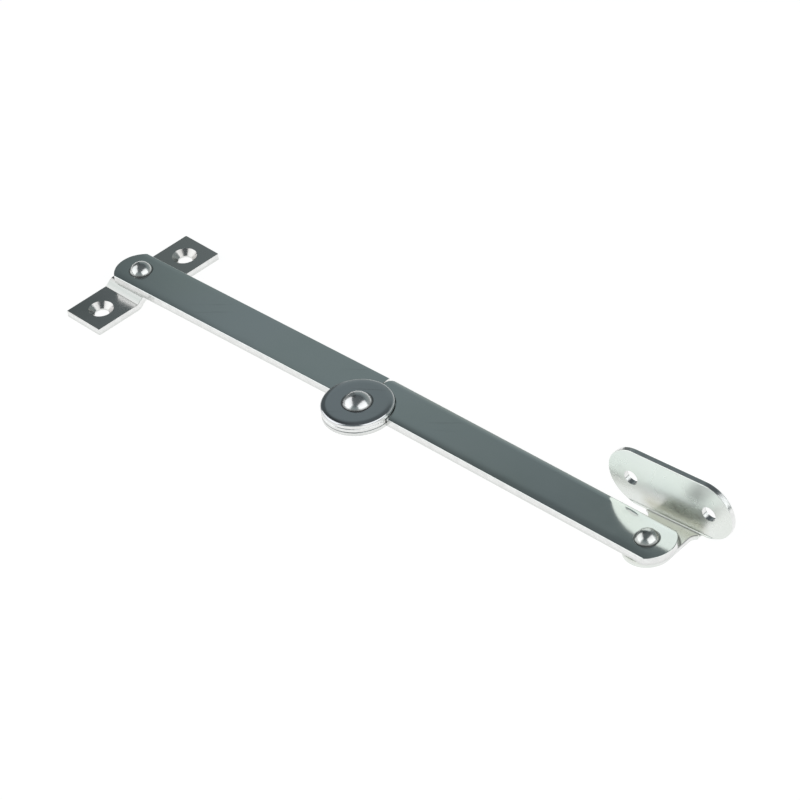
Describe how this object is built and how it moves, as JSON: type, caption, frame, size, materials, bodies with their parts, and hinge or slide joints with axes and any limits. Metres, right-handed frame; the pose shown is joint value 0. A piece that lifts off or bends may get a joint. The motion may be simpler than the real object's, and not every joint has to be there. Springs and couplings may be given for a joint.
{
  "type": "lid stay",
  "caption": "Folding lid stay: flat steel arms with an offset knuckle under a cover disc, a cranked foot bracket and an upright lid plate.",
  "frame": {"origin": "midway between the two screws of the foot bracket, on its mounting face", "axes": "+Z away from the mounting face along every pivot, +X along the arms to the lid plate, +Y to the side the plate faces"},
  "size_m": [0.26, 0.0554, 0.025],
  "materials": {
    "plated_sheet": "bright zinc plated pressed sheet",
    "plated_arm": "bright zinc plated flat strip",
    "plated_disc": "bright zinc plated",
    "plated_rivet": "bright zinc plated, polished dome"
  },
  "bodies": {
    "foot": {"foot_bracket": "plated_sheet", "foot_rivet": "plated_rivet"},
    "foot_arm_body": {"foot_arm": "plated_arm", "cover_disc": "plated_disc"},
    "lid_arm_body": {"lid_arm": "plated_arm", "knuckle_rivet": "plated_rivet"},
    "lid_plate_body": {"lid_bracket": "plated_sheet", "lid_rivet": "plated_rivet"}
  },
  "joints": [
    {"name": "foot_pivot", "type": "hinge", "parent": "foot", "child": "foot_arm_body", "pos_m": [0, 0, 0.006], "axis": [0, 0, 1], "continuous": true},
    {"name": "knuckle_pivot", "type": "hinge", "parent": "foot_arm_body", "child": "lid_arm_body", "pos_m": [0.11277, -0.00373, 0.006], "axis": [0, 0, -1], "range_deg": [-0.9, 177]},
    {"name": "lid_pivot", "type": "hinge", "parent": "lid_arm_body", "child": "lid_plate_body", "pos_m": [0.22918, 0.00817, 0.006], "axis": [0, 0, 1], "range_deg": [-110, 9]}
  ]
}
